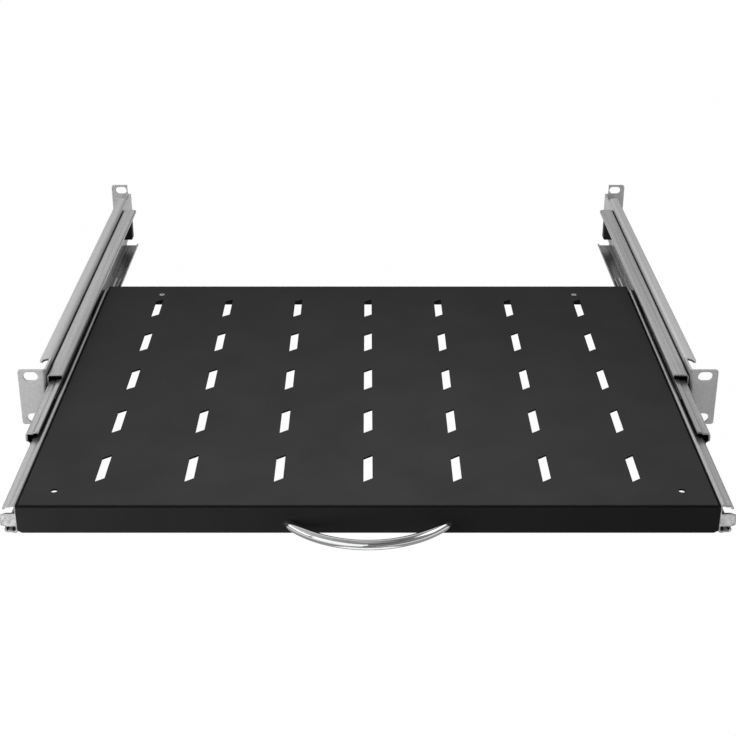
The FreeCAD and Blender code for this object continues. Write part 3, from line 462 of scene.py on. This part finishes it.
def clamp_nut():
    """Hexagon nut on a coned flange."""
    bore, flange_height = 2.6, 1.2
    shape = nut_flange(bore, flange_height)
    hexagon = nut_hexagon(bore, flats=4.0, height=2.8, chamfer=0.4)
    join(shape, hexagon, Matrix.Translation((0, 0, flange_height)) @ Matrix.Rotation(math.pi / 6, 4, "Z"))
    return shape


def row_of_spots(node, make, count, heading):
    """Where the seats of a CAD node's fasteners lie: an even row along the node's box."""
    low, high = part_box(node)
    middle, half = (low + high) / 2 / MM, (high - low) / 2 / MM
    shape = make()
    top = max(corner.co.z for corner in shape.verts)
    rim = max(corner.co.x for corner in shape.verts)
    shape.free()
    seat = middle + heading * (abs(heading.dot(half)) - top)
    along = max(range(3), key=lambda axis: half[axis])
    spots = []
    for number in range(count):
        spot = seat.copy()
        spot[along] += (2 * number / (count - 1) - 1) * (half[along] - rim)
        spots.append(spot)
    return spots


def set_in_place(node, body, make, count, heading):
    """A row of fasteners with their heads towards heading, as one piece that stands for a CAD node."""
    whole = bmesh.new()
    heading = Vector(heading)
    facing = heading.to_track_quat("Z", "Y").to_matrix().to_4x4()
    for spot in row_of_spots(node, make, count, heading):
        join(whole, make(), Matrix.Scale(MM, 4) @ Matrix.Translation(spot) @ facing)
    for face in whole.faces:
        face.smooth = True
    mesh = bpy.data.meshes.new(f"{node}_set")
    whole.to_mesh(mesh)
    whole.free()
    mesh.set_sharp_from_angle(angle=SHARP_ANGLE)
    mesh.materials.append(FINISHES["fastener"])
    piece = bpy.data.objects.new(f"{node}_set", mesh)
    scene.collection.objects.link(piece)
    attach(piece, body)
    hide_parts(node)


for side, hand in ((-1, "left"), (1, "right")):
    set_in_place(f"{hand}_tray_screws", "tray", tray_screw, count=3, heading=(-side, 0, 0))
    set_in_place(f"{hand}_rail_rivets", "fixed_rails", rail_rivet, count=2, heading=(-side, 0, 0))
    set_in_place(f"{hand}_clamp_bolts", "fixed_rails", clamp_bolt, count=2, heading=(-side, 0, 0))
    set_in_place(f"{hand}_clamp_nuts", "fixed_rails", clamp_nut, count=2, heading=(side, 0, 0))
set_in_place("tray_rivets", "tray", tray_rivet, count=2, heading=(0, 0, 1))
set_in_place("handle_screws", "tray", handle_screw, count=2, heading=(0, 1, 0))


# Stage

WHITE = (1, 1, 1, 1)

# The floor's distance below the shelf, its size and its paint.
FLOOR_DROP = 1.0
FLOOR_SIZE = 60.0
FLOOR_PAINT = grey(0.86)

# How white the floor is to the eye, and in reflections near the shelf and far from it.
FLOOR_WHITE = 0.995
FLOOR_MIRRORED = (0.04, 0.7)

# Where the floor turns from near to far, to the sides and to the rear.
FLOOR_ASIDE = (1.6, 2.4)
FLOOR_BEHIND = (2.6, 3.4)

# Brightness of the walls by degrees above the horizon.
WALL_LEVELS = ((0, 0.04), (10, 0.17), (18, 0.6), (25, 0.66),
               (42, 0.7), (60, 0.36), (80, 0.08), (90, 0.05))

# Shares of that brightness at the left and right, and how far across they blend.
WALL_SIDES = (1.29, 0.75)
WALL_SIDES_BLEND = 0.4

# Shares at the front, low down in reflections and elsewhere, and between which degrees they change.
WALL_FRONT = (0.35, 0.06)
WALL_FRONT_RISE = (28, 40)
WALL_FRONT_BLEND = 0.7

# Share of plain white in reflections of the walls.
WALL_WHITE = 0.06


def seen_directly(tree, mirrored):
    """One for what the camera or clear material shows, and the share mirrored for reflections."""
    path = add_node(tree, "ShaderNodeLightPath").outputs
    glossy = reckon(tree, "MULTIPLY", path["Is Glossy Ray"], mirrored)
    direct = reckon(tree, "MAXIMUM", path["Is Camera Ray"], path["Is Transmission Ray"])
    return reckon(tree, "MAXIMUM", glossy, direct)


def pale_floor():
    """Pale paint that looks white, and is brighter in reflections far from the shelf."""
    material = bpy.data.materials.new("pale floor")
    tree = empty_tree(material)
    paint = add_node(tree, "ShaderNodeBsdfDiffuse", {"Color": (*FLOOR_PAINT, 1)})
    white = add_node(tree, "ShaderNodeEmission", {"Color": WHITE, "Strength": 1.0})
    place = add_node(tree, "ShaderNodeTexCoord").outputs["Object"]
    way = add_node(tree, "ShaderNodeSeparateXYZ", {0: place}).outputs
    beside = spread(tree, reckon(tree, "ABSOLUTE", way["X"]), *FLOOR_MIRRORED, *FLOOR_ASIDE)
    behind = spread(tree, way["Y"], *FLOOR_MIRRORED, *FLOOR_BEHIND)
    mirrored = reckon(tree, "MAXIMUM", beside, behind)
    share = reckon(tree, "MULTIPLY", seen_directly(tree, mirrored), FLOOR_WHITE)
    mix = add_node(tree, "ShaderNodeMixShader", {"Fac": share})
    tree.links.new(paint.outputs["BSDF"], mix.inputs[1])
    tree.links.new(white.outputs["Emission"], mix.inputs[2])
    add_node(tree, "ShaderNodeOutputMaterial", {"Surface": mix.outputs["Shader"]})
    return material


def lay_floor():
    """Pale floor well below the shelf, which a rack would hold in the air."""
    mesh = bpy.data.meshes.new("floor")
    shape = bmesh.new()
    bmesh.ops.create_grid(shape, x_segments=1, y_segments=1, size=FLOOR_SIZE / 2)
    bmesh.ops.translate(shape, verts=shape.verts, vec=(0, 0, cad_box[0].z - FLOOR_DROP))
    shape.to_mesh(mesh)
    shape.free()
    mesh.materials.append(pale_floor())
    floor = bpy.data.objects.new("floor", mesh)
    scene.collection.objects.link(floor)


def wall_ramp(tree, rise):
    """Brightness of the walls at that rise, in radians."""
    height = spread(tree, rise, 0.0, 1.0, 0.0, math.pi / 2)
    ramp = add_node(tree, "ShaderNodeValToRGB", {"Fac": height})
    elements = ramp.color_ramp.elements
    first, last = elements
    for degrees, level in WALL_LEVELS:
        elements.new(degrees / 90).color = (*grey(level), 1)
    elements.remove(first)
    elements.remove(last)
    return ramp.outputs["Color"]


def light_world():
    """White to the eye; as a light, walls bright at half height, most at the back and on the left."""
    scene.world = bpy.data.worlds.new("studio")
    tree = empty_tree(scene.world)
    sight = add_node(tree, "ShaderNodeTexCoord").outputs["Generated"]
    way = add_node(tree, "ShaderNodeSeparateXYZ", {0: sight}).outputs
    rise = reckon(tree, "ARCSINE", way["Z"])
    across = spread(tree, way["X"], *WALL_SIDES, -WALL_SIDES_BLEND, WALL_SIDES_BLEND)
    glossy = add_node(tree, "ShaderNodeLightPath").outputs["Is Glossy Ray"]
    low_front = spread(tree, rise, *WALL_FRONT, *map(math.radians, WALL_FRONT_RISE))
    front = spread(tree, glossy, WALL_FRONT[1], low_front, 0.0, 1.0)
    deep = spread(tree, way["Y"], front, 1.0, -WALL_FRONT_BLEND, WALL_FRONT_BLEND)
    sides = reckon(tree, "MULTIPLY", across, deep)
    walls = reckon(tree, "MULTIPLY", wall_ramp(tree, rise), sides)
    whiteness = seen_directly(tree, WALL_WHITE)
    level = add_node(tree, "ShaderNodeMix", {0: whiteness, 2: walls, 3: 1.0}, data_type="FLOAT")
    white = add_node(tree, "ShaderNodeBackground", {"Color": WHITE, "Strength": level.outputs[0]})
    add_node(tree, "ShaderNodeOutputWorld", {"Surface": white.outputs["Background"]})


lay_floor()
light_world()


# Lamps

TRAY_LEFT = (-0.15, -0.1, 0)
TRAY_MIDDLE = (0, -0.15, 0)
TRAY_FRONT = (0, -0.17, 0)
HANDLE = (0, -0.19, 0)


def add_softbox(name, place, target, size, power, mirrored=True, lights=True, beam=180):
    """Rectangular lamp that shows in reflections, lights matt surfaces, or both; its beam is in degrees."""
    lamp = bpy.data.lights.new(name, "AREA")
    lamp.shape = "RECTANGLE"
    lamp.size, lamp.size_y = size
    lamp.energy = power
    lamp.spread = math.radians(beam)
    box = bpy.data.objects.new(name, lamp)
    box.location = place
    box.visible_camera = False
    box.visible_glossy = mirrored
    box.visible_diffuse = lights
    box.rotation_euler = (Vector(target) - Vector(place)).to_track_quat("-Z", "Y").to_euler()
    scene.collection.objects.link(box)


add_softbox("key", (-0.5, -0.4, 0.0), TRAY_LEFT, size=(0.3, 0.3), power=2.1, mirrored=False)
add_softbox("left card", (-0.6, -1.1, 0.42), TRAY_MIDDLE, size=(1.3, 1.1), power=4.0, lights=False)
add_softbox("side card", (-1.1, -0.2, 0.4), TRAY_MIDDLE, size=(0.9, 0.5), power=1.4, lights=False)
add_softbox("low card", (0, -0.4, -0.4), HANDLE, size=(0.4, 0.4), power=0.4, lights=False)
add_softbox("top card", (-0.2, -0.3, 0.75), HANDLE, size=(0.8, 0.9), power=0.35, lights=False)
add_softbox("right card", (0.75, -0.1, 0.75), TRAY_MIDDLE, size=(0.5, 0.5), power=1.1, lights=False)
add_softbox("overhead", (0, -0.17, 0.43), TRAY_FRONT, size=(0.4, 0.1), power=2.5, mirrored=False)
for side, power in ((-1, 0.0015), (1, 0.0011)):
    stop_tab = (side * 0.222, -0.17, -0.004)
    add_softbox("tab card", (side * 0.26, -0.3, -0.085), stop_tab, size=(0.07, 0.07), power=power,
                lights=False, beam=50)


# Camera

FOCAL_PIXELS = 1468
PHOTO_PIXELS = 736
SENSOR_WIDTH = 36.0
CAMERA_REACH = (0.01, 100)
CAMERA_PITCH = 25
CAMERA_PLACE = (0, -0.9156, 0.44865)


def place_camera():
    """Looks straight along the depth of the shelf, and down by the pitch in degrees."""
    camera = bpy.data.cameras.new("camera")
    camera.sensor_width = SENSOR_WIDTH
    camera.lens = SENSOR_WIDTH * FOCAL_PIXELS / PHOTO_PIXELS
    camera.clip_start, camera.clip_end = CAMERA_REACH
    stand = bpy.data.objects.new("camera", camera)
    stand.location = CAMERA_PLACE
    stand.rotation_euler = (math.radians(90 - CAMERA_PITCH), 0, 0)
    scene.collection.objects.link(stand)
    scene.camera = stand


place_camera()
